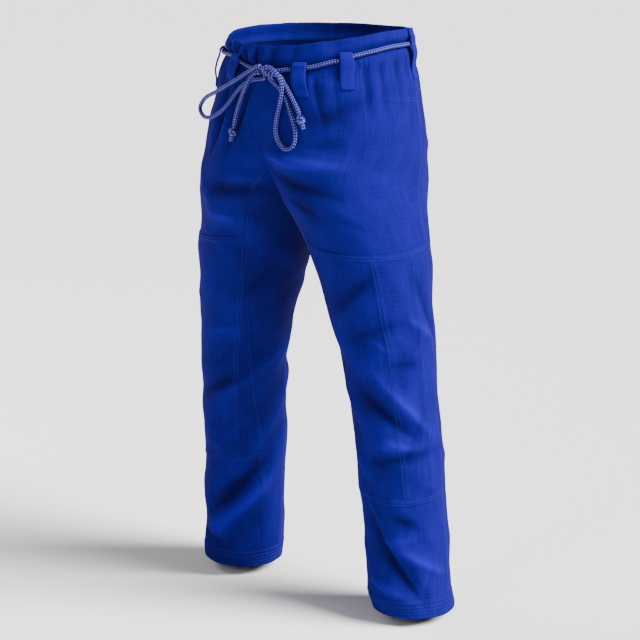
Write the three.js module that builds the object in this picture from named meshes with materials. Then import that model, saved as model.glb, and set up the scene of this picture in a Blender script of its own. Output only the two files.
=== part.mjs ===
// Jiu-jitsu pants in cotton drill, filled out as if worn, with nobody inside.
// Millimetres, +Z up. The front faces -Y and the wearer's left leg is at +X.
// The origin is in the middle of the waist, at the height of the drawcord,
// which is where the wearer's waist holds the pants up.
import * as THREE from 'three';

// Driving dimensions.
const seamGap = 0.3;
const hemBottom = -931;
const hemTall = 35;
const gussetTip = -176; // where the panels' middle seams stop and the gussets begin
const patchTop = -293;
const patchBottom = -730;
const gatherFoot = -110; // the drawcord's gathers have faded out at this height
const cordRadius = 3.75;
const panelCloth = 2;
const patchCloth = 1.3;
const bandCloth = 4;
const hemCloth = 3;
const loopCloth = 2.4;
const outseam = 110; // degrees round from the front, the same all the way down
const hemTop = hemBottom + hemTall;

// Each section is half of the garment: one leg and the half of the hips above it.
// It is an ellipse whose middle lies `out` from the garment's middle plane and `aft`
// towards the back. A point on it is found by its angle, which is 0 at the front,
// 90 on the outer side, 180 at the back and 270 (or -90) between the legs.
function table(columns, ...rows) {
  const names = columns.split(' ');
  return rows.map((row) => Object.fromEntries(names.map((name, i) => [name, row[i]])));
}

const sections = table(
  'z out aft wide deep',
  [-931, 195, 17, 70, 70],
  [-900, 191, 13, 72, 72],
  [-850, 188, 11, 72, 72],
  [-800, 185, 9, 72, 72],
  [-700, 178, 5, 73, 74],
  [-600, 171, -3, 74, 75],
  [-550, 167, -8, 75, 76],
  [-500, 160, -10, 79, 79],
  [-450, 152, -12, 84, 84],
  [-390, 140, -16, 90, 92],
  [-345, 131, -16, 96, 99],
  [-300, 120, -17, 100, 108],
  [-250, 104, -20, 104, 125],
  [-220, 92, -19, 106, 139],
  [-176, 75, -14, 120, 146],
  [-140, 55, -11, 141, 146],
  [-100, 36, -8, 156, 146],
  [-60, 18, -5, 163, 149],
  [-30, 6, -4, 171, 149],
  [0, 0, -3, 170, 141],
  [34, 0, 0, 161, 140],
  [60, 0, 0, 161, 140],
);

// Seams of the long gusset that runs down the inside of each leg, by height.
const frontSeam = {
  left: table('z angle', [-931, -56], [-740, -52], [-640, -45], [-554, -34], [-461, -31],
    [-366, -29], [-300, -34], [-252, -32], [-176, -38.7]),
  right: table('z angle', [-931, -80], [-720, -70], [-609, -58], [-457, -44], [-390, -35],
    [-298, -28], [-252, -31], [-176, -38.7]),
};
const backSeam = table('z angle', [-931, 263], [-734, 257], [-628, 255], [-435, 247],
  [-300, 238], [-250, 229], [-176, 218.7]);

// Heights round the waist, by bearing: 0 at the front, positive towards the left side.
const rimHeight = table('bearing z', [-180, 40], [-140, 39], [-100, 37], [-75, 35], [-58, 31],
  [-40, 27], [-16, 28], [0, 27], [24, 33], [54, 44], [85, 52], [105, 52], [139, 44], [180, 40]);
const cordHeight = table('bearing z', [-180, 12], [-140, 9], [-90, 6], [-58, 3], [-30, 5],
  [-22, 2], [-14, -5], [0, -12], [16, -7], [30, -2], [41, 6], [67, 21], [88, 27], [110, 27],
  [140, 20], [180, 12]);

// The largest folds: a ridge where `height` is positive, a trough where it is negative.
const folds = {
  left: table(
    'angle z toAngle toZ width height',
    [5, -160, 42, -152, 16, 5],
    [5, -192, 35, -182, 17, -6],
    [23, -95, 56, -60, 16, -4],
    [21, -131, 41, -124, 14, -3],
    [32, -340, -17, -405, 17, -6],
    [34, -428, 51, -425, 16, -4],
    [40, -489, 68, -488, 16, -4],
    [35, -506, 66, -570, 17, 6],
    [22, -562, 57, -586, 17, -7],
    [24, -607, 53, -603, 15, 4],
    [44, -618, 72, -641, 15, -5],
    [24, -751, 55, -771, 17, -5],
    [10, -792, 43, -788, 16, 4],
    [31, -824, 104, -874, 17, 5],
    [-6, -778, 47, -880, 17, -8],
  ),
  right: table(
    'angle z toAngle toZ width height',
    [-8, -196, -34, -194, 16, 5],
    [-7, -218, -33, -222, 16, -5],
    [5, -482, -29, -468, 16, 4],
    [-78, -530, -17, -593, 17, 6],
    [21, -600, -35, -568, 17, -6],
    [-76, -727, 4, -820, 18, -8],
    [-70, -742, 10, -848, 16, 5],
    [26, -873, -20, -845, 16, -4],
  ),
  both: table(
    'angle z toAngle toZ width height',
    [140, -205, 194, -262, 20, 4.5],
    [148, -258, 212, -308, 20, -5],
    [145, -372, 190, -410, 18, -3.5],
    [148, -480, 215, -470, 18, -5],
    [152, -512, 210, -520, 17, 4],
    [146, -552, 212, -548, 18, -5],
    [155, -600, 200, -585, 17, 3.5],
    [145, -700, 190, -745, 18, -4],
    [148, -800, 205, -770, 18, 4],
    [142, -850, 200, -835, 18, -4],
  ),
};

// Gathers below the drawcord, round one half of the waist.
const gathers = table('angle depth', [32, 3.2], [45, 2.2], [63, 3], [74, 2.6], [87, 2.4],
  [98, 1.8], [121, 2.2], [136, 3], [149, 2.4], [162, 3], [174, 2]);
const gatherWidth = 11;
const cinch = { depth: 4, tall: 10 }; // the cord draws the cloth in along its own line

// A loop's foot is given below the cord, and it stands off the form by `belly` halfway
// down and by `stand` at the cord.
const loops = table(
  'name bearing wide foot belly stand top',
  ['loop_front_left', 24, 23, -44, 7, 12.6, 'cord'],
  ['loop_side_left', 51, 23, -48, 7, 12.6, 'cord'],
  ['loop_back_left', 108, 24, -56, 6, 12.6, 'rim'],
  ['loop_front_right', -21, 23, -45, 8, 12.6, 'cord'],
  ['loop_side_right', -52, 23, -48, 13, 13, 'cord'],
  ['loop_back_right', -124, 24, -54, 6, 12.6, 'rim'],
);

const cottonBlue = { color: 0x2140a6, roughness: 0.92, metalness: 0 };
const patchBlue = { color: 0x2544ad, roughness: 0.92, metalness: 0 };
const bandBlue = { color: 0x1f3c9e, roughness: 0.9, metalness: 0 };
const cordLilac = { color: 0x8f95d8, roughness: 0.8, metalness: 0 };

const pants = new THREE.Group();

function add(name, geometry, look) {
  const mesh = new THREE.Mesh(geometry, new THREE.MeshStandardMaterial(look));
  mesh.name = name;
  pants.add(mesh);
  return mesh;
}

// Value of one column at a place along the table, joined from row to row by cubic
// curves that never overshoot a row.
function read(rows, by, at, column) {
  const last = rows.length - 1;
  if (at <= rows[0][by]) return rows[0][column];
  if (at >= rows[last][by]) return rows[last][column];
  let i = 0;
  while (rows[i + 1][by] < at) i += 1;
  const slope = (k) => (k < 0 || k >= last ? 0
    : (rows[k + 1][column] - rows[k][column]) / (rows[k + 1][by] - rows[k][by]));
  const tangent = (k) => {
    const before = slope(k - 1);
    const after = slope(k);
    return before * after <= 0 ? 0 : (2 * before * after) / (before + after);
  };
  const span = rows[i + 1][by] - rows[i][by];
  const t = (at - rows[i][by]) / span;
  const s = 1 - t;
  return s * s * (1 + 2 * t) * rows[i][column] + t * s * s * span * tangent(i)
    + t * t * (1 + 2 * s) * rows[i + 1][column] - t * t * s * span * tangent(i + 1);
}

const radians = THREE.MathUtils.degToRad;
const degrees = THREE.MathUtils.radToDeg;
const mix = THREE.MathUtils.lerp;

function sectionAt(z) {
  const { out, aft, wide, deep } = sections[0];
  const shape = { out, aft, wide, deep };
  for (const column of Object.keys(shape)) shape[column] = read(sections, 'z', z, column);
  return shape;
}

// Height of a fold at a point, from how far the point lies from the fold's line.
function foldRelief(fold, angle, z, radius) {
  const arc = radians(angle - fold.angle) * radius;
  const arcEnd = radians(fold.toAngle - fold.angle) * radius;
  const rise = fold.toZ - fold.z;
  const t = THREE.MathUtils.clamp(
    (arc * arcEnd + (z - fold.z) * rise) / (arcEnd * arcEnd + rise * rise), 0, 1);
  const gap = Math.hypot(arc - t * arcEnd, z - fold.z - t * rise);
  return fold.height * Math.exp(-((gap / fold.width) ** 2));
}

function gatherRelief(side, angle, z) {
  const bearing = side === 'left' ? angle : -angle;
  const drop = read(cordHeight, 'bearing', bearing, 'z') - 6 - z;
  if (drop <= 0 || z < gatherFoot) return 0;
  const grow = THREE.MathUtils.smoothstep(drop, 0, 26);
  const fade = 1 - THREE.MathUtils.smoothstep(z, gatherFoot, gatherFoot + 75);
  const calm = loops.reduce((least, loop) => Math.min(least,
    THREE.MathUtils.smoothstep(Math.abs(bearing - loop.bearing), 5, 9)), 1);
  const dips = gathers.reduce((sum, row) => sum
    - row.depth * Math.exp(-((((angle - row.angle) * 2.9) / gatherWidth) ** 2)), 0);
  return dips * grow * (1 - fade) * calm;
}

function relief(side, angle, z) {
  const radius = sectionAt(z).deep;
  const folded = [...folds[side], ...folds.both].reduce(
    (sum, fold) => sum + foldRelief(fold, angle, z, radius), 0);
  const bearing = side === 'left' ? angle : -angle;
  const off = (z - read(cordHeight, 'bearing', bearing, 'z')) / cinch.tall;
  return folded + gatherRelief(side, angle, z) - cinch.depth * Math.exp(-(off ** 2));
}

// A point of the garment's form, `lift` outside the cloth's outer face.
function formPoint(side, angle, z, lift = 0) {
  const { out, aft, wide, deep } = sectionAt(z);
  const stand = lift + relief(side, angle, z);
  const turn = radians(angle);
  const x = Math.max(out + (wide + stand) * Math.sin(turn), seamGap / 2);
  return new THREE.Vector3(side === 'left' ? x : -x, aft - (deep + stand) * Math.cos(turn), z);
}

// Angle at which a section meets the middle plane, in front of the garment.
function middleAngle(z, lift) {
  const { out, wide } = sectionAt(z);
  return degrees(Math.asin((seamGap / 2 - out) / (wide + lift)));
}

function gapAngle(z) {
  return degrees(seamGap / 2 / sectionAt(z).deep);
}

// A closed wall: the same grid of points on its outer and its inner face, and a strip
// round the edge. A row may have twice the columns of the row below it.
function wall(columns, pointAt, ring = false) {
  const rows = columns.length - 1;
  const points = [];
  const grids = [0, 1].map((layer) => columns.map((count, j) => {
    const line = [];
    for (let i = 0; i < count + (ring ? 0 : 1); i += 1) {
      line.push(points.length);
      points.push(pointAt(i / count, j, layer));
    }
    if (ring) line.push(line[0]);
    return line;
  }));
  const faces = [];
  const quad = (a, b, c, d) => faces.push([a, b, c], [a, c, d]);
  grids.forEach((grid, layer) => {
    const first = faces.length;
    for (let j = 0; j < rows; j += 1) {
      const top = grid[j];
      const low = grid[j + 1];
      for (let i = 0; i < low.length - 1; i += 1) {
        if (top.length > low.length) {
          faces.push([top[2 * i], top[2 * i + 1], low[i]]);
          faces.push([top[2 * i + 1], low[i + 1], low[i]]);
          faces.push([top[2 * i + 1], top[2 * i + 2], low[i + 1]]);
        } else quad(top[i], top[i + 1], low[i + 1], low[i]);
      }
    }
    if (layer === 1) for (const face of faces.slice(first)) face.reverse();
  });
  const [outer, inner] = grids;
  const rim = (a, b) => {
    for (let i = 0; i < a.length - 1; i += 1) quad(a[i + 1], a[i], b[i], b[i + 1]);
  };
  rim(outer[0], inner[0]);
  rim([...outer[rows]].reverse(), [...inner[rows]].reverse());
  if (!ring) {
    rim(outer.map((line) => line[0]).reverse(), inner.map((line) => line[0]).reverse());
    rim(outer.map((line) => line.at(-1)), inner.map((line) => line.at(-1)));
  }
  return closedGeometry(points, faces);
}

function closedGeometry(points, faces) {
  const volume = faces.reduce((sum, [a, b, c]) => sum
    + points[a].dot(points[b].clone().cross(points[c])), 0);
  if (volume < 0) for (const face of faces) face.reverse();
  const geometry = new THREE.BufferGeometry();
  geometry.setAttribute('position',
    new THREE.Float32BufferAttribute(points.flatMap((point) => point.toArray()), 3));
  geometry.setIndex(faces.flat());
  geometry.computeVertexNormals();
  return geometry;
}

function evenly(from, to, count) {
  return Array.from({ length: count }, (_, i) => mix(from, to, (i + 1) / count));
}

// Heights of a panel's rows. The first few follow the curved top edge, so they are
// given as a share of the way down to the foot of the gathers.
const gatherRows = [0, 0.12, 0.3, 0.5, 0.74, 1];
const gussetRows = [gussetTip, ...evenly(gussetTip, patchTop, 4),
  ...evenly(patchTop, patchBottom, 14), ...evenly(patchBottom, hemTop + seamGap, 5)];
const lowerRows = [mix(gatherFoot, gussetTip, 0.5), ...gussetRows];

function rowHeight(j, side, angle) {
  if (j >= gatherRows.length) return lowerRows[j - gatherRows.length];
  const bearing = side === 'left' ? angle : -angle;
  const top = read(cordHeight, 'bearing', bearing, 'z') - 1.2 - seamGap;
  return mix(top, gatherFoot, gatherRows[j]);
}

// Front panel: from its middle or gusset edge (u = 0) round to the outseam (u = 1).
function frontPoint(side, u, j, lift) {
  const z = rowHeight(j, side, mix(0, outseam, u));
  const inner = z > gussetTip ? middleAngle(z, lift)
    : read(frontSeam[side], 'z', z, 'angle') + gapAngle(z);
  const angle = mix(inner, outseam - gapAngle(z), u);
  return formPoint(side, angle, z, lift);
}

function backPoint(side, u, j, lift) {
  const z = rowHeight(j, side, mix(outseam, 180, u));
  const inner = z > gussetTip ? 180 - middleAngle(z, lift)
    : read(backSeam, 'z', z, 'angle') - gapAngle(z);
  const angle = mix(outseam + gapAngle(z), inner, u);
  return formPoint(side, angle, z, lift);
}

function panelColumns(count) {
  return [...gatherRows.map(() => 2 * count), ...lowerRows.map(() => count)];
}

// Gusset: from the front seam (u = 0) under the leg's inside to the back seam (u = 1).
// Its top edge is where the form meets the middle plane.
function gussetAngle(side, u, z) {
  const front = read(frontSeam[side], 'z', z, 'angle') - gapAngle(z);
  const back = read(backSeam, 'z', z, 'angle') - 360 + gapAngle(z);
  return mix(front, back, u);
}

function gussetTop(side, u) {
  let high = gussetTip + 20;
  let low = -300;
  for (let step = 0; step < 30; step += 1) {
    const z = (high + low) / 2;
    const { out, wide } = sectionAt(z);
    const x = out + wide * Math.sin(radians(gussetAngle(side, u, z)));
    if (x > seamGap / 2) low = z;
    else high = z;
  }
  return low;
}

function gussetPoint(side, u, j, lift, tops) {
  const share = (gussetRows[j] - gussetTip) / (hemTop + seamGap - gussetTip);
  const z = mix(tops[Math.round(u * (tops.length - 1))], hemTop + seamGap, share);
  return formPoint(side, gussetAngle(side, u, z), z, lift);
}

const lifts = [0, -panelCloth];
const frontCount = 12;
const backCount = 10;
const gussetCount = 4;

for (const side of ['left', 'right']) {
  add(`front_${side}`, wall(panelColumns(frontCount),
    (u, j, layer) => frontPoint(side, u, j, lifts[layer])), cottonBlue);
  add(`back_${side}`, wall(panelColumns(backCount),
    (u, j, layer) => backPoint(side, u, j, lifts[layer])), cottonBlue);
  const tops = Array.from({ length: gussetCount + 1 },
    (_, i) => gussetTop(side, i / gussetCount));
  const gussetColumns = gussetRows.map(() => gussetCount);
  add(`gusset_${side}`, wall(gussetColumns,
    (u, j, layer) => gussetPoint(side, u, j, lifts[layer], tops)), cottonBlue);
}

// Knee patch: the front panel's own points between two of its rows, moved out.
const patchRows = 14;
const patchFirstRow = gatherRows.length + 5;
const patchInset = 0.02;
for (const side of ['left', 'right']) {
  const patchLifts = [seamGap + patchCloth, seamGap];
  add(`knee_patch_${side}`, wall(Array(patchRows + 1).fill(frontCount), (u, j, layer) => {
    const across = THREE.MathUtils.clamp(u, patchInset, 1 - patchInset);
    return frontPoint(side, across, patchFirstRow + j, patchLifts[layer]);
  }), patchBlue);
}

// Hem: the turned-up band round each leg's end.
const hemRows = 2;
for (const side of ['left', 'right']) {
  const hemLifts = [0.6, 0.6 - hemCloth];
  add(`hem_${side}`, wall(Array(hemRows + 1).fill(28), (u, j, layer) => formPoint(
    side, 360 * u, mix(hemTop, hemBottom, j / hemRows), hemLifts[layer]), true), bandBlue);
}

// Waistband: one strip joined at the front, fuller in the middle of its height.
function bandLift(share) {
  return 1 + 2.5 * Math.sin(Math.PI * share) ** 2;
}

function waistPoint(bearing, z, lift) {
  const side = bearing >= 0 && bearing <= 180 ? 'left' : 'right';
  const { aft, wide, deep } = sectionAt(z);
  const stand = lift + relief(side, side === 'left' ? bearing : 360 - bearing, z);
  const turn = radians(bearing);
  return new THREE.Vector3((wide + stand) * Math.sin(turn),
    aft - (deep + stand) * Math.cos(turn), z);
}

// Bearings run on past 180 round to 360, so the tables are read on the other side.
function heightAt(rows, bearing) {
  return read(rows, 'bearing', bearing > 180 ? bearing - 360 : bearing, 'z');
}

const bandColumns = 52;
const bandRows = 4;
const bandEnd = degrees(seamGap / 2 / 140);
add('waistband', wall(Array(bandRows + 1).fill(bandColumns), (u, j, layer) => {
  const bearing = mix(bandEnd, 360 - bandEnd, u);
  const share = j / bandRows;
  const z = mix(heightAt(rimHeight, bearing), heightAt(cordHeight, bearing) - 1, share);
  const lift = layer === 0 ? bandLift(share) : 1 - bandCloth;
  return waistPoint(bearing, z, lift);
}), bandBlue);

// Belt loops: a strap's path is given by height above the cord and stand off the form.
// `foot` and `stand` come from the loop's own row, and the last rows lie on the band.
const cordLift = 1 + seamGap + cordRadius + 0.7;
function loopPath({ bearing, foot, belly, stand, top }) {
  const cordZ = heightAt(cordHeight, bearing);
  const bandTall = heightAt(rimHeight, bearing) - cordZ + 1;
  const lying = seamGap + loopCloth;
  const onBand = (rise) => bandLift((bandTall - rise - 1) / bandTall) + lying;
  const path = [
    [foot, lying],
    [foot + 9, lying],
    [mix(foot, 0, 0.5), belly],
    [-9, mix(belly, stand, 0.8)],
    [-3, stand],
    [3.5, stand],
  ];
  if (top === 'cord') {
    path.push([7, mix(onBand(7), stand, 0.72)], [9.2, onBand(9) + 1.5], [10, onBand(10) - 1.6]);
  } else {
    path.push([9, mix(onBand(9), stand, 0.7)], [16, onBand(16) + 1.2], [bandTall - 1, onBand(bandTall - 1)]);
  }
  return path.map(([rise, lift]) => new THREE.Vector2(cordZ + rise, lift));
}

for (const loop of loops) {
  const path = loopPath(loop);
  const half = degrees(loop.wide / 2 / 160);
  add(loop.name, wall(path.map(() => 2), (u, j, layer) => {
    const before = path[Math.max(j - 1, 0)];
    const after = path[Math.min(j + 1, path.length - 1)];
    const way = after.clone().sub(before).normalize();
    const drop = layer === 0 ? 0 : loopCloth;
    const z = path[j].x + way.y * drop;
    const lift = path[j].y - way.x * drop;
    const side = loop.bearing > 0 ? 'left' : 'right';
    return formPoint(side, Math.abs(loop.bearing) + mix(-half, half, u), z, lift);
  }), cottonBlue);
}

// Drawcord: round the waist over the band's seam, to a bow a little left of the middle.
const knotMiddle = new THREE.Vector3(21, -159, -10);
const knotHalf = new THREE.Vector3(9, 9, 9);

// A cord's end stands just off the knot and points at its middle.
function knotPort(x, y, z) {
  const way = new THREE.Vector3(x, y, z).normalize();
  return [1, 6].map((out) => knotMiddle.clone()
    .addScaledVector(way, knotHalf.x + seamGap + out - 1));
}

function cord(name, route) {
  const curve = new THREE.CatmullRomCurve3(route, false, 'centripetal');
  const outline = new THREE.Shape(Array.from({ length: 8 }, (_, i) => new THREE.Vector2(
    cordRadius * Math.cos((i * Math.PI) / 4), cordRadius * Math.sin((i * Math.PI) / 4))));
  const steps = Math.min(80, Math.round(curve.getLength() / (4.8 * cordRadius)));
  add(name, new THREE.ExtrudeGeometry(outline, { steps, extrudePath: curve }), cordLilac);
  return curve;
}

const waistRoute = evenly(16, 358, 60).map((bearing) => waistPoint(
  bearing, heightAt(cordHeight, bearing), cordLift));
cord('drawcord_waist', [...knotPort(0.8, 0.6, 0), ...waistRoute, ...knotPort(-0.8, 0.6, 0).reverse()]);
add('drawcord_knot', new THREE.SphereGeometry(1, 12, 8).scale(knotHalf.x, knotHalf.y, knotHalf.z)
  .translate(knotMiddle.x, knotMiddle.y, knotMiddle.z), cordLilac);

const vectors = (rows) => rows.map(({ x, y, z }) => new THREE.Vector3(x, y, z));
const bowLeft = table(
  'x y z',
  [46, -166, -9], [53, -164, -18], [57, -163, -30], [56, -163, -45], [50, -162, -67],
  [44, -161, -87], [42, -161, -107], [49, -162, -122], [64, -162, -132], [77, -160, -127],
  [80, -157, -112], [77, -156, -94], [70, -156, -76], [60, -155, -55], [50, -155, -40],
  [40, -156.5, -31],
);
const bowRight = table(
  'x y z',
  [-8, -168, -12], [-36, -171, -29], [-82, -165, -51], [-126, -149, -70], [-139, -145, -86],
  [-121, -155, -97], [-101, -159, -96], [-80, -160, -86], [-60, -159, -68], [-43, -158, -49],
  [-28, -158, -36], [-14, -157, -29], [0, -157, -25.5],
);
const tailLeft = table('x y z', [46, -155.5, -17], [55, -154.5, -28], [64, -154, -40],
  [74, -153.5, -55], [84, -154, -70], [87, -154.5, -76]);
const tailRight = table('x y z', [-1, -161.5, -15], [-9, -164, -22], [-15, -165.5, -33],
  [-28, -163.5, -54], [-40, -163, -82], [-46, -164.5, -107]);

cord('bow_loop_left', [...knotPort(0.7, -0.45, 0.55), ...vectors(bowLeft),
  ...knotPort(0.42, 0.2, -0.88).reverse()]);
cord('bow_loop_right', [...knotPort(-0.7, -0.45, 0.55), ...vectors(bowRight),
  ...knotPort(-0.42, 0.2, -0.88).reverse()]);

// A stopper knot with the cord's short cut end, turned to carry on from its tail.
const endKnot = table('radius along', [0, 0], [3.6, 0], [6.9, 3], [8, 7.5], [6.7, 12],
  [3.9, 14.5], [3.7, 23], [0, 23]);
function tail(side, port, rows) {
  const route = cord(`tail_${side}`, [...port, ...vectors(rows)]);
  const geometry = new THREE.LatheGeometry(
    endKnot.map(({ radius, along }) => new THREE.Vector2(radius, along)), 10);
  const knot = add(`end_knot_${side}`, geometry, cordLilac);
  const way = route.getTangent(1);
  knot.quaternion.setFromUnitVectors(new THREE.Vector3(0, 1, 0), way);
  knot.position.copy(route.getPoint(1)).addScaledVector(way, 0.4);
}
tail('left', knotPort(0.9, -0.35, -0.25), tailLeft);
tail('right', knotPort(-0.9, -0.35, -0.25), tailRight);

export default pants;
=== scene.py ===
import math
import bpy
import numpy as np
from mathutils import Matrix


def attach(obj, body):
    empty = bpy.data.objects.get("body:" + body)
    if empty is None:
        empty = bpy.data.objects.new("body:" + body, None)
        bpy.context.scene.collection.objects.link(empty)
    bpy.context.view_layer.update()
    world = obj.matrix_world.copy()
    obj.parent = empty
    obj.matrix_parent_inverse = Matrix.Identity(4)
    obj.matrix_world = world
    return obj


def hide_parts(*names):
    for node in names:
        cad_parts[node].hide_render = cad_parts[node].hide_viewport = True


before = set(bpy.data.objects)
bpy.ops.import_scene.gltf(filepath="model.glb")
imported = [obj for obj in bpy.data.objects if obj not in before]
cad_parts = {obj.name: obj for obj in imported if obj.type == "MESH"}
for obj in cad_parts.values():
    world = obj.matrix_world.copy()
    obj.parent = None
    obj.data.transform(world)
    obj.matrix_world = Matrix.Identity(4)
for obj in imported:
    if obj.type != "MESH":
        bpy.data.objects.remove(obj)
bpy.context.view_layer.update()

mm = 0.001  # shapes are worked out in millimetres and put into the mesh in metres


# Camera at the photograph's angle, from the wearer's left and a little above.
view = {"turn": 40, "away": 3.45, "rise": 0.405, "lookDown": 14, "lens": 116.4}

def placeCamera():
    # On a circle round the object, raised, turned to face it and tipped down.
    data = bpy.data.cameras.new("photoCamera")
    data.lens = view["lens"]
    data.sensor_width = 36
    camera = bpy.data.objects.new("photoCamera", data)
    turn = math.radians(view["turn"])
    camera.location = (view["away"] * math.sin(turn), -view["away"] * math.cos(turn), view["rise"])
    camera.rotation_euler = (math.radians(90 - view["lookDown"]), 0, turn)
    bpy.context.collection.objects.link(camera)
    bpy.context.scene.camera = camera

placeCamera()
print("camera placed")


# Sections of one half of the pants, by height: an ellipse whose middle lies out from
# the garment's middle plane and aft towards the back, with half widths wide and deep.
form = {
    "z": [-931, -900, -850, -800, -700, -600, -550, -500, -450, -390, -345,
          -300, -250, -220, -176, -140, -100, -60, -30, 0, 34, 60],
    "out": [195, 191, 188, 185, 178, 171, 167, 160, 152, 140, 131,
            120, 104, 92, 75, 55, 36, 18, 6, 0, 0, 0],
    "aft": [17, 13, 11, 9, 5, -3, -8, -10, -12, -16, -16,
            -17, -20, -19, -14, -11, -8, -5, -4, -3, 0, 0],
    "wide": [70, 72, 72, 72, 73, 74, 75, 79, 84, 90, 96,
             100, 104, 106, 120, 141, 156, 163, 171, 170, 161, 161],
    "deep": [70, 72, 72, 72, 74, 75, 76, 79, 84, 92, 99,
             108, 125, 139, 146, 146, 146, 149, 149, 141, 140, 140],
}
cut = {
    "seamGap": 0.06, "middleGap": 0.01, "hemBottom": -931, "hemTop": -896, "gussetTip": -176,
    "gatherFoot": -110, "outseam": 110, "panelCloth": 2.0,
    "frontSeam": {
        "left": ([-931, -740, -640, -554, -461, -366, -300, -252, -176],
                 [-56, -52, -45, -34, -31, -29, -34, -32, -38.7]),
        "right": ([-931, -720, -609, -457, -390, -298, -252, -176],
                  [-80, -70, -58, -44, -35, -28, -31, -38.7]),
    },
    "backSeam": ([-931, -734, -628, -435, -300, -250, -176],
                 [263, 257, 255, 247, 238, 229, 218.7]),
    "rim": ([-180, -140, -100, -75, -58, -40, -16, 0, 24, 54, 85, 105, 139, 180],
            [40, 39, 37, 35, 31, 27, 28, 27, 33, 44, 52, 52, 44, 40]),
    "cord": ([-180, -140, -90, -58, -30, -22, -14, 0, 16, 30, 41, 67, 88, 110, 140, 180],
             [12, 9, 6, 3, 5, 2, -5, -12, -7, -2, 6, 21, 27, 27, 20, 12]),
}
# Folds: angle and height at both ends, half width, and how far it stands (+) or dips (-).
folds = {
    "left": [
        (-18, -150, 32, -156, 16, 6), (-20, -176, 30, -206, 17, -5), (-10, -214, 10, -233, 14, -4),
        (23, -95, 56, -60, 16, -4), (21, -131, 41, -124, 14, -3), (40, -332, -6, -396, 16, -4),
        (82, -350, 108, -440, 14, -4), (20, -372, -24, -430, 13, 3), (2, -440, 60, -418, 15, -3),
        (70, -412, 100, -446, 14, 4), (40, -489, 68, -488, 14, -3.5),
        (20, -505, 76, -596, 16, 6), (8, -543, 52, -604, 15, -5), (22, -622, 58, -629, 14, 5),
        (12, -652, 88, -641, 14, -5), (24, -751, 55, -771, 16, -4.5), (6, -794, 46, -788, 15, 4),
        (24, -806, 84, -852, 16, 6), (-10, -766, 40, -872, 17, -7), (-14, -868, 34, -894, 14, 5),
    ],
    "right": [
        (-10, -192, -40, -190, 16, 4), (4, -214, -42, -210, 17, -4.5), (8, -262, -34, -274, 17, 4),
        (5, -482, -29, -468, 16, 4), (-78, -530, -17, -593, 17, 6), (21, -602, -40, -560, 16, -6),
        (6, -824, -62, -738, 16, -6.5), (14, -862, -70, -772, 24, 6.5), (30, -874, -4, -884, 12, -4),
        (3, -24, 3, -134, 5, -4), (12, -46, 7, -128, 7, -6), (18, -60, 12, -132, 6, 4),
        (24, -44, 21, -142, 8, -5), (31, -60, 27, -128, 7, 3),
    ],
    "both": [
        (140, -205, 194, -262, 20, 4.5), (148, -258, 212, -308, 20, -5), (145, -372, 190, -410, 18, -3.5),
        (148, -480, 215, -470, 18, -5), (152, -512, 210, -520, 17, 4), (146, -552, 212, -548, 18, -5),
        (155, -600, 200, -585, 17, 3.5), (145, -700, 190, -745, 18, -4), (148, -800, 205, -770, 18, 4),
        (142, -850, 200, -835, 18, -4),
    ],
}
foldLook = {  # all heights' factor, the crest's share and sharpness, loss at the ends, run past them
    "strength": 1.4, "crest": 0.3, "sharp": 2.2, "fade": 0.8, "reach": 0.2,
}
# Smaller creases that only show close up, in the same columns.
creases = {
    "left": [
        (-33, -545, 12, -641, 4, 1.6), (-24, -690, 14, -800, 4, 2.0), (14, -800, 48, -877, 5, 2.0),
        (-36, -820, -14, -868, 4, 1.4), (78, -560, 48, -640, 8, -1.5),
        (14, -440, 40, -462, 8, 1.4), (60, -690, 84, -702, 8, 1.2), (56, -905, 70, -840, 7, -1.3),
        (84, -180, 60, -240, 12, 1.5), (92, -420, 70, -470, 10, 1.5), (20, -240, 48, -262, 11, -1.4),
    ],
    "right": [
        (-24, -330, -36, -560, 10, 0.6), (-52, -300, -40, -352, 7, 1.5), (-60, -360, -38, -400, 8, -1.5),
        (14, -300, -10, -330, 10, 1.4), (10, -545, -16, -530, 8, -1.6), (-50, -640, -12, -672, 9, 1.4),
        (18, -690, -8, -700, 8, 1.4), (30, -770, 4, -742, 9, -1.4), (-50, -880, -20, -905, 8, 1.2),
        (35, -180, 12, -236, 12, 1.5), (44, -420, 20, -440, 9, 1.2),
    ],
    "both": [
        (120, -130, 168, -182, 13, 2.2), (190, -190, 160, -232, 12, -2.0), (150, -440, 184, -452, 9, 1.8),
        (158, -532, 200, -540, 8, -2), (170, -640, 132, -662, 11, 1.8), (176, -730, 140, -722, 9, -1.6),
        (168, -872, 140, -884, 9, 1.6), (206, -350, 236, -372, 10, 1.6), (222, -440, 240, -560, 9, -1.2),
    ],
}
gathers = {  # the deep ones by bearing, then the fine ones between them
    "angle": [32, 45, 63, 74, 87, 98, 121, 136, 149, 162, 174],
    "depth": [3.2, 2.2, 3.0, 2.6, 2.4, 1.8, 2.2, 3.0, 2.4, 3.0, 2.0],
    "width": 7, "perDegree": 2.9, "deeper": 1.35, "grow": 26, "fadeTall": 75,
    "fine": 1.8, "finePitch": 9.5, "fineTall": 30,
}
cinch = {"depth": 4, "tall": 10}  # the groove under the cord
tuck = {  # small gathers at the right patch's top
    "z": -298, "tall": 20, "angle": -18, "wide": 11, "pitch": 0.8, "height": 0.8,
}
waistRadius = 160  # turns bearings into lengths round the waist
rowOff = 3.2  # each row of a double seam lies this far from the seam's middle
farOff = 60  # distance given where no sewn line is near
threadLift = 0.15  # stitches lie this far off the cloth
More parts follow.
